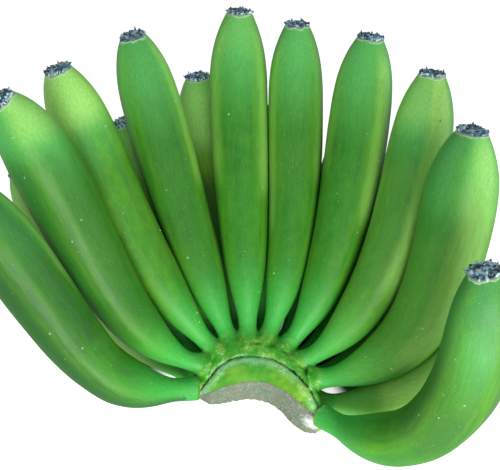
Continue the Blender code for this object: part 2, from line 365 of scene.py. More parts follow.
def radiusAlong(run, neckFullness, girth):
    shape = fingerShape
    marks = np.array(shape["radii"], float)
    neck = shape["neckLength"]
    stretch = (run[-1] - neck) / (marks[-1, 0] - neck)
    places = np.minimum(marks[:, 0], neck) + np.maximum(marks[:, 0] - neck, 0) * stretch
    plain = np.interp(run, places, marks[:, 1])
    fullFrom, fullTo = shape["girthFrom"], shape["girthFull"]
    plain *= np.interp(run, (0, fullFrom, fullTo), (neckFullness, neckFullness, girth))
    spacing = run[1] - run[0]
    reach = int(3 * shape["roundOff"] / spacing)
    bell = np.exp(-0.5 * (np.arange(-reach, reach + 1) * spacing / shape["roundOff"]) ** 2)
    padded = np.pad(plain, reach, mode="reflect", reflect_type="odd")
    return np.convolve(padded, bell / bell.sum(), mode="valid")


def carriedUp(line):  # headings, and an up vector carried along the line without twist
    heading = unit(np.gradient(line, axis=0))
    tops = []
    top = np.array([0.0, 0.0, 1.0])
    for way in heading:
        top = unit(top - way * (top @ way))
        tops.append(top)
    return heading, np.array(tops)


fingers = []
for rowName, row, rowHeight in fingerShape["rows"]:
    for number, values in enumerate(row, 1):
        finger = dict(zip(fingerShape["parts"], values), name=f"{rowName}_{number:02d}")
        line, run = centreLine(finger, rowHeight)
        heading, tops = carriedUp(line)
        radius = radiusAlong(run, finger["neck"], finger["girth"])
        finger.update(line=line + shift, run=run, heading=heading, tops=tops, radius=radius)
        fingers.append(finger)
print("centre lines:", len(fingers))


# Peel: colour with painted light and shade, gloss and relief that the fingers and the crown's necks share

peelFinish = dict(
    deepGreen=(0.016, 0.095, 0.016, 1), leafGreen=(0.034, 0.225, 0.014, 1), limeGreen=(0.15, 0.4, 0.012, 1),
    tipGreen=(0.11, 0.5, 0.12, 1), neckGreen=(0.055, 0.49, 0.075, 1), paintedLightGreen=(0.4, 0.78, 0.17, 1),
    oliveTint=(0.105, 0.19, 0.028, 1), rimBrown=(0.09, 0.05, 0.02, 1), rimPale=(0.52, 0.68, 0.46, 1),
    speckPale=(0.55, 0.75, 0.35, 1), speckDark=(0.03, 0.06, 0.012, 1),
    roughness=0.50, shine=0.28, coat=0.03, coatRoughness=0.35,
)

# tone: how yellow the green is; back_01 and back_09 have it set high partly as painted light. Bands of
# painted light and shade: turn from the top towards the right and half width in degrees, how much paler as
# painted light (or deeper as painted shade, below zero), and the stretch of the finger that it covers.
peelTonesAndPaintedLight = dict(
    front_01=(0.30, ((-100, 45, -0.8, 0, 1), (-20, 40, -0.6, 0.42, 0.95), (45, 30, 0.5, 0.6, 1.1))),
    front_02=(0.42, ((-80, 62, -0.6, 0.25, 0.86), (10, 60, 0.7, 0.88, 1.1), (30, 50, -0.3, 0.2, 0.8))),
    front_03=(0.55, ((0, 180, 0.9, 0.84, 1.1), (-65, 25, 0.3, 0.55, 1), (40, 25, -0.2, 0.2, 0.7))),
    front_04=(0.36, ((62, 22, 0.75, 0.5, 1), (-70, 20, 0.25, 0.6, 1), (0, 60, -0.25, 0.2, 1.1))),
    front_05=(0.36, ((62, 20, 0.6, 0.45, 0.95), (-62, 20, 0.4, 0.5, 0.95), (0, 60, 0.2, 0.9, 1.1))),
    front_06=(0.36, ((-60, 20, 0.5, 0.35, 0.95), (62, 16, 0.4, 0.5, 0.95), (0, 90, -0.1, 0.2, 0.9))),
    front_07=(0.36, ((62, 20, 0.7, 0.45, 0.95), (-60, 18, 0.3, 0.6, 0.95))),
    front_08=(0.40, ((60, 24, 0.6, 0.35, 1), (-60, 20, 0.3, 0.5, 0.9), (0, 90, 0.5, 0.85, 1.1),
                     (0, 180, 0.1, 0.1, 0.7))),
    front_09=(0.42, ((75, 32, 0.6, 0.3, 1), (0, 60, -0.25, 0.85, 1.1), (0, 70, 0.12, 0.1, 0.7))),
    front_10=(0.42, ((0, 180, -0.45, 0.40, 1.1), (85, 25, 0.35, 0.62, 0.85))),
    back_01=(0.8, ((0, 180, 0.9, 0.2, 1),)),
    back_03=(0.8, ((0, 180, 0.5, 0.6, 1),)),
    back_04=(0.8, ((0, 180, 0.6, 0.75, 1), (0, 180, -0.7, 0.1, 0.62))),
    back_09=(0.7, ((0, 180, 1.0, 0.32, 0.8), (0, 180, 0.3, 0.05, 0.3))),
    other=(0.42, ()),
)


def makePeelGroup():
    look = peelFinish
    net, given = makeTree(
        "peelColour", "ShaderNodeTree",
        dict(place="Vector", along="Float", left="Float", tone="Float", sun="Float", crest="Float"),
        dict(Colour="Color", Roughness="Float", Height="Float"))
    spot = net.spot()
    lengthwise = net.vector("MULTIPLY", given["place"], (1, 1, 0.06))
    fine = net.noise(lengthwise, 1500, 3, 0.6)
    broad = net.noise(lengthwise, 260, 2, 0.5)
    drift = net.noise(spot, 15, 2, 0.5)
    cloud = net.noise(spot, 55, 3, 0.55)
    mottle = net.noise(spot, 210, 3, 0.6)
    grain = net.noise(spot, 1100, 2, 0.6)

    # from deep green to lime by tone, drifting over the body
    tone = given["tone"]
    patterns = ((drift, 0.3, 0.06), (cloud, 0.3, 0.06), (broad, 0.25, 0.05), (mottle, 0.3, 0.05))
    for pattern, low, reach in patterns:
        tone = net.plus(tone, net.remap(pattern, low, 1 - low, -reach, reach))
    base = net.mix(net.remap(tone, 0.0, 0.4), look["deepGreen"], look["leafGreen"])
    base = net.mix(net.remap(tone, 0.35, 1.0), base, look["limeGreen"])
    olive = net.times(net.remap(net.noise(spot, 24, 2, 0.5, 0.4), 0.45, 0.65),
                 net.remap(given["along"], 0.045, 0.09))
    olive = net.times(olive, net.remap(given["left"], 0.030, 0.060))
    base = net.mix(net.times(olive, 0.2), base, look["oliveTint"])

    # fresher green at the neck; at the shoulder of the tip a paler green, partly the peel's own and partly a
    # painted highlight; painted light and shade by side, and a painted highlight on the ridges
    # the tip's shoulder is paler partly by the peel's own colour and partly by a painted highlight
    tipGlow = net.remap(given["left"], 0.070, 0.006)
    neckGlow = net.remap(given["along"], 0.060, 0.012)
    base = net.mix(net.times(tipGlow, 0.75), base, look["tipGreen"])
    base = net.mix(net.times(neckGlow, 0.70), base, look["neckGreen"])
    # painted light and shade by side: paler where painted as lit, deeper where painted as shaded
    paler = net.remap(given["sun"], 0.0, 1.0, smooth=False)
    deeper = net.remap(given["sun"], 0.0, -1.0, smooth=False)
    base = net.mix(net.times(paler, 0.85), base, look["paintedLightGreen"])
    base = net.mix(deeper, base, look["deepGreen"])
    # painted highlight: the peel is painted paler along the ridge crests
    crest = net.times(given["crest"], net.remap(broad, 0.3, 0.6, 0.10, 0.28))
    base = net.mix(crest, base, look["limeGreen"])

    # fine lengthwise fibres, pale specks, a few dark ones, and the rim at the flower end
    fibre = net.remap(fine, 0.35, 0.65, 0.90, 1.08)
    grey = net.out("ShaderNodeCombineColor", {0: fibre, 1: fibre, 2: fibre})
    base = net.mix(1.0, base, grey, "MULTIPLY")
    dots = net.cells(spot, 420.0)
    pale = net.times(net.remap(dots, 0.16, 0.10), net.remap(grain, 0.52, 0.6))
    base = net.mix(net.times(pale, 0.30), base, look["speckPale"])
    marks = net.cells(spot, 95.0)
    dark = net.times(net.remap(marks, 0.06, 0.035), net.remap(cloud, 0.5, 0.62))
    base = net.mix(net.times(dark, 0.5), base, look["speckDark"])
    rimPlace = net.plus(given["left"], net.remap(mottle, 0.3, 0.7, -0.0007, 0.0007))
    paleRim = net.times(net.remap(rimPlace, 0.0012, 0.0006), 0.7)
    base = net.mix(paleRim, base, look["rimPale"])
    base = net.mix(net.times(net.remap(rimPlace, 0.0005, 0.0001), 0.5), base,
                     look["rimBrown"])

    rough = net.plus(look["roughness"], net.remap(cloud, 0.3, 0.7, -0.05, 0.07))
    rough = net.plus(rough, net.remap(fine, 0.3, 0.7, -0.03, 0.03))
    height = net.times(fine, 0.5)
    for pattern, share in ((grain, 0.35), (mottle, 0.6), (pale, 0.5)):
        height = net.plus(height, net.times(pattern, share))
    net.node("NodeGroupOutput", {"Colour": base, "Roughness": rough, "Height": height})
    return net.tree


peelGroup = makePeelGroup()


def startMaterial(name):
    material = bpy.data.materials.new(name)
    material.use_nodes = True
    return material, Net(material.node_tree), material.node_tree.nodes["Principled BSDF"]


def placePeel(net):
    values = {label: net.read(label) for label in ("along", "left", "tone", "sun", "crest")}
    values["place"] = net.read("place", "Vector")
    return net.node("ShaderNodeGroup", values, node_tree=peelGroup).outputs


def makePeelMaterial():
    look = peelFinish
    material, net, shader = startMaterial("waxy_green_peel")
    peel = placePeel(net)
    net.fill(shader, {
        "Base Color": peel["Colour"], "Roughness": peel["Roughness"],
        "Normal": net.bump(0.35, 0.0003, peel["Height"]), "Specular IOR Level": look["shine"],
        "Coat Weight": look["coat"], "Coat Roughness": look["coatRoughness"]})
    return material


peelMaterial = makePeelMaterial()
print("peel material ready")


# Fingers: a five-ridged profile swept along each centre line

def makeFingerTree():
    net, given = growthTree("fingerSweep", sides="Int", ridgeRise="Float", bellyWarp="Float",
                            twist="Float", dentDepth="Float", dentScale="Float", peel="Material")
    around, girth, ridged = (net.named(name) for name in ("around", "girth", "ridged"))
    path = net.geo("MeshToCurve", {"Mesh": given["Geometry"]})
    upward = net.named("upward", "FLOAT_VECTOR")
    path = net.geo("SetCurveNormal", {"Curve": path, "Normal": upward}, mode="FREE")
    circle = net.geo("CurvePrimitiveCircle", {"Resolution": given["sides"], "Radius": 1.0})
    turn = net.times(net.geo("SplineParameter"), 2 * math.pi)
    profile = net.store(circle, "around", turn)
    swept = net.geo("CurveToMesh",
                    {"Curve": path, "Profile Curve": profile, "Scale": girth, "Fill Caps": True})

    # ridges: five, the top face the widest, fading in from the neck and turning a little along the finger
    twisted = net.plus(around, net.times(given["twist"], net.named("share")))
    warped = net.minus(twisted, net.times(given["bellyWarp"], net.calc("SINE", twisted)))
    wave = net.calc("COSINE", net.times(warped, 5.0))
    crest = net.calc("POWER", net.times(net.minus(1.0, wave), 0.5), 1.5)
    rise = net.times(net.times(net.minus(crest, 0.25), given["ridgeRise"]), ridged)
    here = net.geo("InputPosition")
    outward = net.vector("SUBTRACT", here, net.named("middle", "FLOAT_VECTOR"))
    dent = net.minus(net.noise(here, given["dentScale"], 1.5, 0.4), 0.5)
    dent = net.times(net.times(dent, given["dentDepth"]), ridged)
    pushed = net.scaled(net.vector("NORMALIZE", outward), dent)
    shaped = net.moved(swept, net.vector("ADD", net.scaled(outward, rise), pushed))

    # where a point lies on the straightened finger, for streaks that run lengthwise
    across = [net.times(net.calc(way, around), girth) for way in ("COSINE", "SINE")]
    flat = net.out("ShaderNodeCombineXYZ", {0: across[0], 1: across[1], 2: net.named("along")})
    shaped = net.store(shaped, "place", flat, "FLOAT_VECTOR")
    shaped = net.store(shaped, "crest", net.times(crest, ridged))
    return net.closeDressed(net.real(shaped), given["peel"])


def fingerGuide(finger):  # one vertex for each ring, with what the sweep needs to know there
    shape = fingerShape
    run, length = finger["run"], finger["run"][-1]
    spread = np.linspace(0, 1, shape["rings"])
    places = (spread - shape["crowding"] * np.sin(2 * math.pi * spread)) * length
    middles = interpolated(places, run, finger["line"])
    tops = interpolated(places, run, finger["tops"])
    radii = np.interp(places, run, finger["radius"])
    nose = np.array(shape["noseRings"])
    middles = np.vstack([middles, middles[-1] + finger["heading"][-1] * nose[:, :1]])
    tops = np.vstack([tops, np.repeat(tops[-1:], len(nose), axis=0)])
    radii = np.append(radii, radii[-1] * nose[:, 1])
    places = np.append(places, length + nose[:, 0])
    mesh = bpy.data.meshes.new("finger_guide")
    count = len(places)
    mesh.from_pydata((middles * mm).tolist(), [(step, step + 1) for step in range(count - 1)], [])
    ridged = np.clip((places - shape["ridgeFrom"]) / (shape["ridgeFull"] - shape["ridgeFrom"]), 0, 1)
    ridged = eased(ridged) * np.clip((length - places) / 6, 0.25, 1)
    writeLayers(mesh, middle=middles * mm, upward=tops, girth=radii * mm, along=places * mm,
                left=(length - places) * mm, share=places / length, ridged=ridged)
    return mesh


def pressApart(points, middles, radii, own):  # fingers that meet flatten each other; bellies meet the table
    shape = fingerShape
    others = []
    coarse, step = shape["coarseStep"], shape["pressStep"]
    for finger in fingers:
        if finger is own:
            continue
        gap = np.linalg.norm(finger["line"][::coarse, None] - own["line"][None, ::coarse], axis=2)
        if gap.min() < shape["nearEnough"]:
            others.append(finger)
    spots = np.concatenate([finger["line"][::step] for finger in others])
    spotRadii = np.concatenate([finger["radius"][::step] for finger in others])
    reach = points - middles

    def room(chosen, share):
        trial = middles[chosen] + reach[chosen] * share[:, None]
        apart = np.empty(len(trial))
        size = shape["blockSize"]
        for start in range(0, len(trial), size):
            block = trial[start:start + size]
            away = np.sqrt(((block[:, None] - spots[None]) ** 2).sum(axis=2)) - spotRadii
            apart[start:start + size] = away.min(axis=1)
        return apart - (np.linalg.norm(trial - middles[chosen], axis=1) - radii[chosen])

    everything = np.arange(len(points))
    tight = everything[room(everything, np.ones(len(points))) < shape["neighbourGap"]]
    low, high = np.full(len(tight), shape["leastShare"]), np.ones(len(tight))
    for _ in range(shape["pressSteps"]):
        half = (low + high) / 2
        clear = room(tight, half) >= shape["neighbourGap"]
        low, high = np.where(clear, half, low), np.where(clear, high, half)
    share = np.ones(len(points))
    share[tight] = low
    moved = middles + reach * share[:, None]
    moved[:, 2] = np.maximum(moved[:, 2], 0.0)
    return moved


def toneAndPaintedLightOf(finger):  # tone and bands of painted light and shade
    return peelTonesAndPaintedLight.get(finger["name"], peelTonesAndPaintedLight["other"])


def sunOn(finger, reach, share):  # painted light and shade: how pale or deep the peel is painted by side and by place along the finger
    share = np.clip(share, 0, 1)
    index = (share * (len(finger["line"]) - 1)).astype(int)
    way, top = finger["heading"][index], finger["tops"][index]
    side = np.cross(way, top)
    turn = np.degrees(np.arctan2((reach * side).sum(axis=1), (reach * top).sum(axis=1)))
    sun = np.zeros(len(reach))
    soft = fingerShape["bandSoft"]
    for middle, width, lift, start, stop in toneAndPaintedLightOf(finger)[1]:
        away = np.abs((turn - middle + 180) % 360 - 180)
        across = np.clip(1.5 - away / width, 0, 1)
        lengthwise = np.clip((share - start) / soft + 0.5, 0, 1) * np.clip((stop - share) / soft + 0.5, 0, 1)
        sun += lift * eased(across) * eased(lengthwise)
    return np.clip(sun, -1, 1)


fingerTree = makeFingerTree()
draw = random.Random(11)
fingerPieces = []
for finger in fingers:
    values = {name: fingerShape[name] for name in ("sides", "bellyWarp", "dentScale")}
    values["ridgeRise"] = fingerShape["ridgeRise"] * draw.uniform(0.8, 1.15)
    values["twist"] = draw.uniform(-1, 1) * fingerShape["twist"]
    values["dentDepth"] = fingerShape["dentDepth"] * mm * 2
    values["peel"] = peelMaterial
    piece = grow("peel_" + finger["name"], fingerGuide(finger), fingerTree, values)
    mesh = piece.data
    points = readLayer(mesh) / mm
    middles = readLayer(mesh, "middle") / mm
    moved = pressApart(points, middles, readLayer(mesh, "girth") / mm, finger)
    writePoints(mesh, moved * mm)
    faceOutwards(mesh)
    sun = sunOn(finger, points - middles, readLayer(mesh, "share"))
    writeLayers(mesh, tone=np.full(len(points), toneAndPaintedLightOf(finger)[0]), sun=sun)
    for name in ("middle", "upward", "girth", "around", "share", "ridged"):
        mesh.attributes.remove(mesh.attributes[name])
    fingerPieces.append(piece)
    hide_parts("finger_" + finger["name"])
    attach(piece, "root")
print("fingers swept:", len(fingerPieces))


# Crown: the arch and the necks' collars grown together

crownFine = dict(
    voxel=0.6, smoothing=10, collarEnd=20, collarStep=1.0, collarSides=28, flare=3.0, endFlare=0.4,
    flareEnd=12, rise=1.1, riseEnd=16, sinkFrom=10, sink=0.7, endNecks=("front_01", "front_10"),
    guideSteps=400, neckSteps=60, faceReach=1.3, endRun=1.5, endGap=3.0, endShift=10,
    lumpHeight=0.5, lumpScale=0.28, grooveDepth=0.7, grooveWidth=0.9, faceRough=0.3, edgeRagged=0.7,
)


def closedRings(bm, rings):
    loops = [[bm.verts.new(point * mm) for point in ring] for ring in rings]
    count = len(loops[0])
    for low, high in zip(loops, loops[1:]):
        for side in range(count):
            bm.faces.new((low[side], low[(side + 1) % count], high[(side + 1) % count], high[side]))
    bm.faces.new(loops[0])
    bm.faces.new(loops[-1][::-1])


def collarRings(finger):  # a short sleeve round the neck: flared at the crown, sunk in further out
    look = crownFine
    atEnd = finger["name"] in look["endNecks"]
    flare = look["endFlare"] if atEnd else look["flare"]
    run, line = finger["run"], finger["line"]
    rings = []
    for place in np.arange(0, look["collarEnd"] + 0.1, look["collarStep"]):
        middle = interpolated(place, run, line)
        index = min(int(np.searchsorted(run, place)), len(run) - 1)
        way, top = finger["heading"][index], finger["tops"][index]
        side = np.cross(way, top)
        if not atEnd:
            middle = middle + top * look["rise"] * (1 - min(place / look["riseEnd"], 1)) ** 1.5
        radius = np.interp(place, run, finger["radius"])
        radius += flare * max(1 - place / look["flareEnd"], 0) ** 2
        radius -= look["sink"] * max(place - look["sinkFrom"], 0) / (look["collarEnd"] - look["sinkFrom"])
        turns = np.linspace(0, 2 * math.pi, look["collarSides"], endpoint=False)[:, None]
        rings.append(middle + radius * (np.cos(turns) * top + np.sin(turns) * side))
    return rings


def makeCrownMesh():
    look = crownFine
    bm = bmesh.new()
    closedRings(bm, crownRings(crownShape["stations"]) + shift)
    for finger in fingers:
        closedRings(bm, collarRings(finger))
    bmesh.ops.recalc_face_normals(bm, faces=bm.faces[:])
    mesh = bpy.data.meshes.new("crown_rough")
    bm.to_mesh(mesh)
    bm.free()
    carrier = addObject("crown_rough", mesh)
    remesh = carrier.modifiers.new("grow together", "REMESH")
    remesh.mode = "VOXEL"
    remesh.voxel_size = look["voxel"] * mm
    soften = carrier.modifiers.new("soften", "SMOOTH")
    soften.factor = 0.5
    soften.iterations = look["smoothing"]
    return bake(carrier)


def nearestOn(points):
    tree = KDTree(len(points))
    for index, point in enumerate(points):
        tree.insert(point, index)
    tree.balance()
    return tree


def dressCrown(mesh):
    look = crownFine
    points = readLayer(mesh) / mm
    steps, neckSteps = look["guideSteps"], look["neckSteps"]
    lip, foot, scar = (guideLine(name, steps) + shift for name in ("cutLip", "cutFoot", "scarLine"))
    scarTree, lipTree = nearestOn(scar), nearestOn(lip)
    corners = [Vector(point) for point in np.vstack([foot, lip])]
    panels = [(i, i + 1, steps + 1 + i, steps + i) for i in range(steps - 1)]
    cutFace = BVHTree.FromPolygons(corners, panels)
    neckTree = nearestOn(np.vstack([finger["line"][:neckSteps] for finger in fingers]))
    normals = readNormals(mesh)

    scarGap, cutDepth, along, tone, left = (np.zeros(len(points)) for _ in range(5))
    place = np.zeros((len(points), 3))
    moved = points.copy()
    for index, point in enumerate(points):
        spot = Vector(point)
        scarPoint, scarIndex, scarAway = scarTree.find(spot)
        facePoint, _, _, faceAway = cutFace.find_nearest(spot)
        lipAway = lipTree.find(facePoint)[2]
        onFace = faceAway < look["faceReach"]
        cutDepth[index] = lipAway if onFace else -faceAway
        # outside the scar is the side of the necks
        outside = (point - scar[scarIndex])[:2] @ (scar[scarIndex] - lip[scarIndex])[:2] > 0
        _, neckIndex, neckAway = neckTree.find(spot)
        neck, step = divmod(neckIndex, neckSteps)
        finger = fingers[neck]
        run = finger["run"][step]
        atEnd = finger["name"] in look["endNecks"] and not onFace and run > look["endRun"]
        scarGap[index] = scarAway if outside else -scarAway
        if atEnd:
            scarGap[index] = max(scarAway, look["endGap"])
        reach = point - finger["line"][step]
        way, top = finger["heading"][step], finger["tops"][step]
        place[index] = (reach @ top, reach @ np.cross(way, top), run)
        along[index] = run + look["endShift"] if atEnd else run
        tone[index] = toneAndPaintedLightOf(finger)[0]
        left[index] = finger["run"][-1] - run
        lump = noise.noise(spot * look["lumpScale"]) * look["lumpHeight"]
        nearNeck = min(max(1 - run / 12, 0), 1)
        lift = lump * nearNeck * (0.2 if onFace else 1.0)
        ragged = noise.noise(spot * 0.9) * 0.35
        groove = max(1 - abs(scarGap[index] + ragged) / look["grooveWidth"], 0)
        lift -= groove * look["grooveDepth"]
        if onFace:
            fibres = noise.noise(Vector((spot.x * 1.1, spot.y * 1.1, spot.z * 0.35)))
            lift += fibres * look["faceRough"]
            lift += noise.noise(spot * 0.45) * look["edgeRagged"] * max(1 - point[2] / 5, 0)
        moved[index] = point + normals[index] * lift
    moved[:, 2] = np.maximum(moved[:, 2], 0.0)
    writePoints(mesh, moved * mm)
    writeLayers(mesh, place=place * mm, scarGap=scarGap * mm, cutDepth=cutDepth * mm, along=along * mm,
                left=left * mm, tone=tone, sun=0 * tone, crest=0 * tone)


crownFinish = dict(
    cushion=(0.035, 0.29, 0.004, 1), cushionYellow=(0.18, 0.46, 0.006, 1), paintedGlint=(0.6, 0.86, 0.56, 1),
    band=(0.04, 0.26, 0.004, 1), bandPaintedHighlight=(0.15, 0.48, 0.17, 1), bandYellow=(0.23, 0.48, 0.025, 1),
    scar=(0.022, 0.014, 0.008, 1), cutGrey=(0.15, 0.215, 0.15, 1), cutTan=(0.2, 0.215, 0.14, 1),
    cutPale=(0.4, 0.46, 0.39, 1), cutDark=(0.07, 0.075, 0.045, 1), border=(0.12, 0.075, 0.03, 1),
    flare=(0.82, 0.88, 0.84, 1), flareSpot=(32.5, -18.0, 14.0), pith=(0.02, 0.016, 0.01, 1),
    pithSpot=(-0.5, -0.3, 5.0),
)


def spotMask(net, spot, place, near, far, wander):  # one at a place in the crown's frame, none far from it
    here = tuple(float(value) * mm for value in np.array(place) + shift)
    away = net.vector("DISTANCE", spot, here, output="Value")
    return net.remap(net.plus(away, wander), far * mm, near * mm)


def makeCrownMaterial():
    look = crownFinish
    material, net, shader = startMaterial("moist_crown")
    spot = net.spot()
    peel = placePeel(net)
    along, scarGap, cutDepth = (net.read(name) for name in ("along", "scarGap", "cutDepth"))
    grain = net.noise(spot, 900, 3, 0.65)
    sparkle = net.noise(spot, 1500, 1, 0.5)
    patch = net.noise(spot, 170, 3, 0.55)
    wide = net.noise(spot, 60, 2, 0.5)
    across = net.out("ShaderNodeSeparateXYZ", {0: spot})
    wander = net.remap(net.noise(spot, 420, 2, 0.6), 0.3, 0.7, -0.0004, 0.0004)

    # cushion round the scar, grading into the necks
    cushion = net.mix(net.remap(patch, 0.45, 0.7), look["cushion"], look["cushionYellow"])
    scarPlace = net.plus(scarGap, wander)
    onBand = net.remap(scarPlace, 0.0002, -0.0002)
    nearScar = net.times(net.remap(along, 0.011, 0.002), net.minus(1.0, onBand))
    colour = net.mix(net.times(nearScar, 0.9), peel["Colour"], cushion)

    # the green band between the scar and the cut: pale with a painted highlight and moist above, deeper
    # green below, yellower to the right
    high = net.remap(scarPlace, -0.0065, -0.0030)
    band = net.mix(high, look["band"], look["bandPaintedHighlight"])
    yellow = net.times(net.remap(across, (8 + shift[0]) * mm, (30 + shift[0]) * mm),
                  net.remap(patch, 0.35, 0.6))
    band = net.mix(net.times(yellow, 0.8), band, look["bandYellow"])
    band = net.mix(net.remap(wide, 0.4, 0.65, 0.0, 0.35), band, look["bandYellow"])
    colour = net.mix(onBand, colour, band)

    # painted glints standing in for beads of moisture, then the brown scar line, thicker here and there
    paintedGlintMask = net.times(net.remap(sparkle, 0.54, 0.64), net.remap(patch, 0.40, 0.6))
    wet = net.calc("MAXIMUM", net.times(onBand, high), nearScar)
    paintedGlintMask = net.times(paintedGlintMask, wet)
    paintedGlintMask = net.times(paintedGlintMask, net.remap(onBand, 0.0, 1.0, 0.35, 0.7))
    colour = net.mix(paintedGlintMask, colour, look["paintedGlint"])
    thick = net.remap(net.noise(spot, 130, 2, 0.6), 0.35, 0.7, 0.00020, 0.00055)
    off = net.minus(net.calc("ABSOLUTE", scarPlace), thick)
    colour = net.mix(net.remap(off, 0.0002, -0.0001), colour, look["scar"])

    # the cut face: fibrous, mottled, with a brown border at its top, one dark strand and a fresh pale corner
    stretched = net.vector("MULTIPLY", spot, (1.0, 1.0, 0.3))
    fibre = net.noise(stretched, 900, 3, 0.7)
    face = net.mix(net.remap(patch, 0.35, 0.65), look["cutGrey"], look["cutTan"])
    face = net.mix(net.remap(fibre, 0.5, 0.75, 0.0, 0.8), face, look["cutPale"])
    face = net.mix(net.remap(fibre, 0.42, 0.22, 0.0, 0.8), face, look["cutDark"])
    cutPlace = net.plus(cutDepth, wander)
    fresh = spotMask(net, spot, look["flareSpot"], 1.0, 10.0, net.times(wander, 4.0))
    face = net.mix(fresh, face, look["flare"])
    strand = spotMask(net, spot, look["pithSpot"], 0.5, 1.0, wander)
    face = net.mix(strand, face, look["pith"])
    border = net.times(net.remap(cutPlace, 0.0013, 0.0005), 0.8)
    face = net.mix(border, face, look["border"])
    onFace = net.remap(cutPlace, 0.0002, 0.0006)
    colour = net.mix(onFace, colour, face)

    moist = net.remap(grain, 0.3, 0.7, 0.20, 0.40)
    skin = net.blend(nearScar, peel["Roughness"], moist)
    skin = net.blend(onBand, skin, net.remap(high, 0.0, 1.0, 0.6, 0.3))
    beads = net.plus(net.times(grain, 0.5), sparkle)
    net.fill(shader, {
        "Base Color": colour, "Roughness": net.blend(onFace, skin, 0.8),
        "Normal": net.bump(0.7, 0.0004, net.blend(onFace, beads, fibre)),
        "Coat Weight": net.times(wet, net.remap(onFace, 0.0, 1.0, 0.35, 0.0, smooth=False)),
        "Coat Roughness": 0.15, "Specular IOR Level": 0.3})
    return material


crownMesh = makeCrownMesh()
dressCrown(crownMesh)
crownMesh.materials.clear()
crownMesh.materials.append(makeCrownMaterial())
faceOutwards(crownMesh)
crownPiece = addObject("crown_cushion", crownMesh)
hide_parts("crown")
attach(crownPiece, "root")
print("crown grown:", len(crownMesh.polygons), "faces")


# Dried flower ends: a crumbled cap with curled scraps and a few spikes

flowerShape = dict(
    wide=0.98, thick=0.10, crumble=0.13, crumbleScale=1.7, scraps=26.0, scrapLeast=0.07, scrapMost=0.24,
    spikes=5, spikeLeast=0.18, spikeMost=0.45, firstSeed=3, lift=0.9,
)
flowerFinish = dict(
    dark=(0.004, 0.007, 0.012, 1), slate=(0.07, 0.19, 0.26, 1), ash=(0.52, 0.72, 0.78, 1),
    brown=(0.06, 0.034, 0.02, 1), roughness=0.6,
)


def makeFlowerMaterial():
    look = flowerFinish
    material, net, shader = startMaterial("dried_flower")
    spot = net.spot()
    flecks = net.noise(spot, 900, 3, 0.7)
    patches = net.noise(spot, 380, 2, 0.5)
    mixed = net.plus(net.times(net.read("shade"), 0.55), net.times(flecks, 0.5))
    colour = net.mix(net.remap(mixed, 0.22, 0.46), look["dark"], look["slate"])
    colour = net.mix(net.remap(mixed, 0.50, 0.70), colour, look["ash"])
    colour = net.mix(net.remap(patches, 0.56, 0.68, 0.0, 0.7), colour, look["brown"])
    bump = net.bump(0.6, 0.0003, flecks)
    net.fill(shader, {"Base Color": colour, "Roughness": look["roughness"], "Normal": bump})
    return material


def makeFlowerTree():
    sizes = ("wide", "thick", "crumble", "crumbleScale", "scraps", "scrapLeast", "scrapMost",
             "spikeLeast", "spikeMost")
    net, given = growthTree("driedFlower", spikes="Int", seed="Int", tissue="Material",
                            **dict.fromkeys(sizes, "Float"))
    here = net.geo("InputPosition")
    normal = net.geo("InputNormal")
    moved = net.vector("ADD", here, net.out("ShaderNodeCombineXYZ", {0: net.times(given["seed"], 3.7)}))

    def randomVector(low, high, offset):
        values = {0: low, 1: high, "Seed": net.plus(given["seed"], float(offset))}
        return net.out("FunctionNodeRandomValue", values, data_type="FLOAT_VECTOR")

    def randomNumber(low, high, offset):
        values = {2: low, 3: high, "Seed": net.plus(given["seed"], float(offset))}
        return net.out("FunctionNodeRandomValue", values, 1, data_type="FLOAT")

    def randomTurn(tilt, offset):
        turn = randomVector((-tilt, -tilt, 0.0), (tilt, tilt, 2 * math.pi), offset)
        return net.out("FunctionNodeEulerToRotation", {0: turn})

    # the cap itself
    size = net.out("ShaderNodeCombineXYZ", {0: given["wide"], 1: given["wide"], 2: given["thick"]})
    flat = net.geo("Transform", {"Geometry": net.ball(5), "Scale": size})
    coarse = net.minus(net.noise(moved, given["crumbleScale"], 4, 0.65), 0.5)
    push = net.times(net.times(coarse, given["crumble"]), 2.2)
    cap = net.store(net.moved(flat, net.scaled(normal, push)), "shade", net.remap(coarse, -0.2, 0.2))

    # scraps of dry petal all over it
    points = net.geo("DistributePointsOnFaces",
                     {"Mesh": flat, "Density": given["scraps"], "Seed": given["seed"]})
    points = net.store(points, "shade", randomNumber(0.0, 1.0, 5))
    scrap = net.geo("Transform", {"Geometry": net.ball(2), "Scale": (1.0, 0.55, 0.30)})
    size = randomNumber(given["scrapLeast"], given["scrapMost"], 13)
    scraps = net.scatter(points, scrap, randomTurn(1.2, 9), size)

    # a few stiff spikes at the rim
    rim = net.geo("MeshCircle",
                  {"Vertices": given["spikes"], "Radius": net.times(given["wide"], 0.88)})
    rim = net.moved(rim, randomVector((-0.25, -0.25, -0.05), (0.25, 0.25, 0.1), 21))
    rim = net.store(rim, "shade", randomNumber(0.0, 0.35, 27))
    cone = net.geo("MeshCone", {
        "Vertices": 6, "Side Segments": 4, "Radius Top": 0.05, "Radius Bottom": 0.28, "Depth": 1.0})
    size = randomNumber(given["spikeLeast"], given["spikeMost"], 35)
    spikes = net.scatter(rim, cone, randomTurn(0.9, 31), size)

    joined = net.node("GeometryNodeJoinGeometry")
    for part in (cap, scraps, spikes):
        net.fill(joined, {0: part})
    rough = net.times(net.minus(net.noise(moved, 9.0, 2, 0.6), 0.5), 0.07)
    bent = net.moved(net.real(joined.outputs[0]), net.scaled(normal, rough))
    return net.closeDressed(bent, given["tissue"])


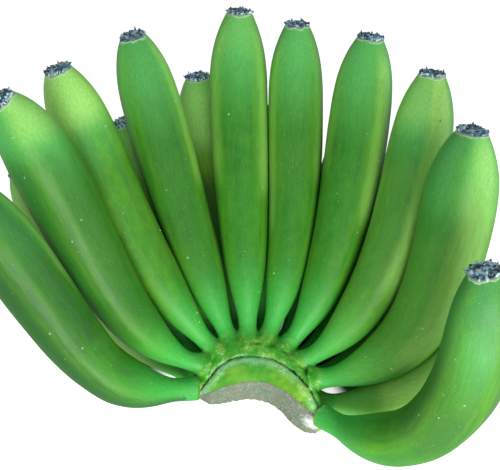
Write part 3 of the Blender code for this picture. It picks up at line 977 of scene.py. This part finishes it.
flowerTree = makeFlowerTree()
flowerMaterial = makeFlowerMaterial()
flowerCount = 0
for index, finger in enumerate(fingers):
    seedMesh = bpy.data.meshes.new("flower_guide")
    seedMesh.from_pydata([(0, 0, 0)], [], [])
    values = dict(flowerShape, seed=flowerShape["firstSeed"] + index, tissue=flowerMaterial)
    piece = grow("flower_" + finger["name"], seedMesh, flowerTree, values)
    way, top = finger["heading"][-1], finger["tops"][-1]
    axes = np.array([top, np.cross(way, top), way])
    local = readLayer(piece.data) * finger["radius"][-1]
    start = finger["line"][-1] + way * flowerShape["lift"]
    writePoints(piece.data, (start + local @ axes) * mm)
    piece.data.shade_smooth()
    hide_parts("blossom_end_" + finger["name"])
    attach(piece, "root")
    flowerCount += len(piece.data.polygons)
print("flower ends:", flowerCount, "faces")


# Water: drops on the upper sides of the fingers, fine beads beside the scar

dropShape = dict(
    seed=29, count=110, least=0.30, most=0.90, flatness=0.42, leastUp=0.35, tipClear=0.012, fewLarge=2.5,
    beads=240, beadLeast=0.12, beadMost=0.36, beadReach=0.0055,
    # the pale green colour is painted light: it stands in for the light that would shine through the drops,
    # so they read as bright beads
    colour=(0.5, 0.85, 0.45, 1), clear=0.55, roughness=0.05, ior=1.33,
)


def makeDropTree():
    net, given = growthTree("waterDrops", flatness="Float", water="Material")
    size = net.named("size")
    facing = net.named("facing", "FLOAT_VECTOR")
    turned = net.out("FunctionNodeAlignRotationToVector", {"Vector": facing}, axis="Z")
    height = net.times(size, given["flatness"])
    spread = net.out("ShaderNodeCombineXYZ", {0: size, 1: size, 2: height})
    placed = net.scatter(given["Geometry"], net.ball(2), turned, spread)
    return net.closeDressed(net.real(placed), given["water"])


def makeWaterMaterial():
    look = dropShape
    material, net, shader = startMaterial("water")
    net.fill(shader, {"Base Color": look["colour"], "Transmission Weight": look["clear"],
                      "Roughness": look["roughness"], "IOR": look["ior"]})
    return material


def wetSpots():  # places, normals and radii of the drops
    look = dropShape
    draw = random.Random(look["seed"])
    spots, facings, sizes = [], [], []

    def wet(mesh, allowed, number, least, most):
        points, normals = readLayer(mesh), readNormals(mesh)
        chosen = np.flatnonzero(allowed & (normals[:, 2] > look["leastUp"]))
        for index in draw.sample(chosen.tolist(), number):
            spots.append(points[index])
            facings.append(normals[index])
            sizes.append((least + (most - least) * draw.random() ** look["fewLarge"]) * mm)

    wetFingers = [piece for piece in fingerPieces if "front" in piece.name]
    for piece in wetFingers:
        body = readLayer(piece.data, "left") > look["tipClear"]
        wet(piece.data, body, look["count"] // len(wetFingers), look["least"], look["most"])
    mesh = crownPiece.data
    besideScar = np.abs(readLayer(mesh, "scarGap")) < look["beadReach"]
    besideScar &= readLayer(mesh, "cutDepth") < 0
    wet(mesh, besideScar, look["beads"], look["beadLeast"], look["beadMost"])
    return np.array(spots), np.array(facings), np.array(sizes)


spots, facings, sizes = wetSpots()
dropGuide = bpy.data.meshes.new("drop_guide")
dropGuide.from_pydata(spots.tolist(), [], [])
writeLayers(dropGuide, facing=facings, size=sizes)
drops = grow("water_drops", dropGuide, makeDropTree(),
             dict(flatness=dropShape["flatness"], water=makeWaterMaterial()))
drops.data.shade_smooth()
for name in ("facing", "size"):
    if name in drops.data.attributes:
        drops.data.attributes.remove(drops.data.attributes[name])
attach(drops, "root")
print("water drops:", len(spots))


# Stage, light and camera

studio = dict(
    cameraSpot=(-4.81, -155.41, 569.66), cameraAim=(-4.81, 89.71, 44.0), lens=69.6, sensor=36,
    sky=(0.95, 0.98, 1.0, 1), skyStrength=0.50,
    lamps=(("front key", (120, -640, 380), 520, 6.0), ("right", (650, 0, 260), 400, 1.2),
           ("left", (-650, 250, 260), 400, 0.25)),
    lampAim=(0, 60, 60), floorSize=40000, floorGlow=0.80, floorTone=0.6, floorShade=(0.03, 0.09, 0.02, 1),
    shades=(((-70, 35), (30, 21)), ((44, 38), (38, 27)), ((60, 14), (15, 15))),
)


def makeStage():
    look = studio
    half = look["floorSize"] / 2 * mm
    corners = [(-half, -half, 0), (half, -half, 0), (half, half, 0), (-half, half, 0)]
    mesh = bpy.data.meshes.new("studio_floor")
    mesh.from_pydata(corners, [], [(0, 1, 2, 3)])
    floor = addObject("studio_floor", mesh)
    material, net, shader = startMaterial("pale_floor")

    # painted shadow: the floor darkens where the hand stands over it, as seen through the gaps between the
    # necks
    spot = net.spot()
    cover = 0.0
    for middle, reach in look["shades"]:  # soft ovals
        here = tuple((np.array((*middle, 0)) + (shift[0], shift[1], 0)) * mm)
        away = net.vector("SUBTRACT", spot, here)
        away = net.vector("DIVIDE", away, (reach[0] * mm, reach[1] * mm, 1))
        away = net.vector("LENGTH", away, output="Value")
        cover = net.calc("MAXIMUM", cover, net.remap(away, 1.25, 0.6))
    tone = look["floorTone"]
    glow = net.times(net.out("ShaderNodeLightPath"), look["floorGlow"])
    net.fill(shader, {
        "Base Color": net.mix(cover, (tone, tone, tone, 1), look["floorShade"]),
        "Roughness": 0.9, "Specular IOR Level": 0.0, "Emission Color": (1, 1, 1, 1),
        "Emission Strength": net.times(glow, net.minus(1.0, cover))})
    mesh.materials.append(material)


def aimAt(item, target):
    away = Vector(target) * mm - item.location
    item.rotation_euler = away.to_track_quat("-Z", "Y").to_euler()


def makeLight():
    look = studio
    world = bpy.data.worlds.new("studio")
    bpy.context.scene.world = world
    world.use_nodes = True
    sky = {"Color": look["sky"], "Strength": look["skyStrength"]}
    Net(world.node_tree).fill(world.node_tree.nodes["Background"], sky)
    for name, place, size, power in look["lamps"]:
        lamp = bpy.data.lights.new(name, "AREA")
        lamp.shape = "DISK"
        lamp.size = size * mm
        lamp.energy = power
        item = addObject(name, lamp)
        item.location = Vector(place) * mm
        aimAt(item, look["lampAim"])


def makeCamera():
    look = studio
    camera = addObject("camera", bpy.data.cameras.new("camera"))
    camera.data.lens = look["lens"]
    camera.data.sensor_width = look["sensor"]
    camera.location = (np.array(look["cameraSpot"]) + shift) * mm
    aimAt(camera, np.array(look["cameraAim"]) + shift)
    bpy.context.scene.camera = camera


makeStage()
makeLight()
makeCamera()
bpy.context.scene.view_settings.view_transform = "Standard"

print("scene ready")
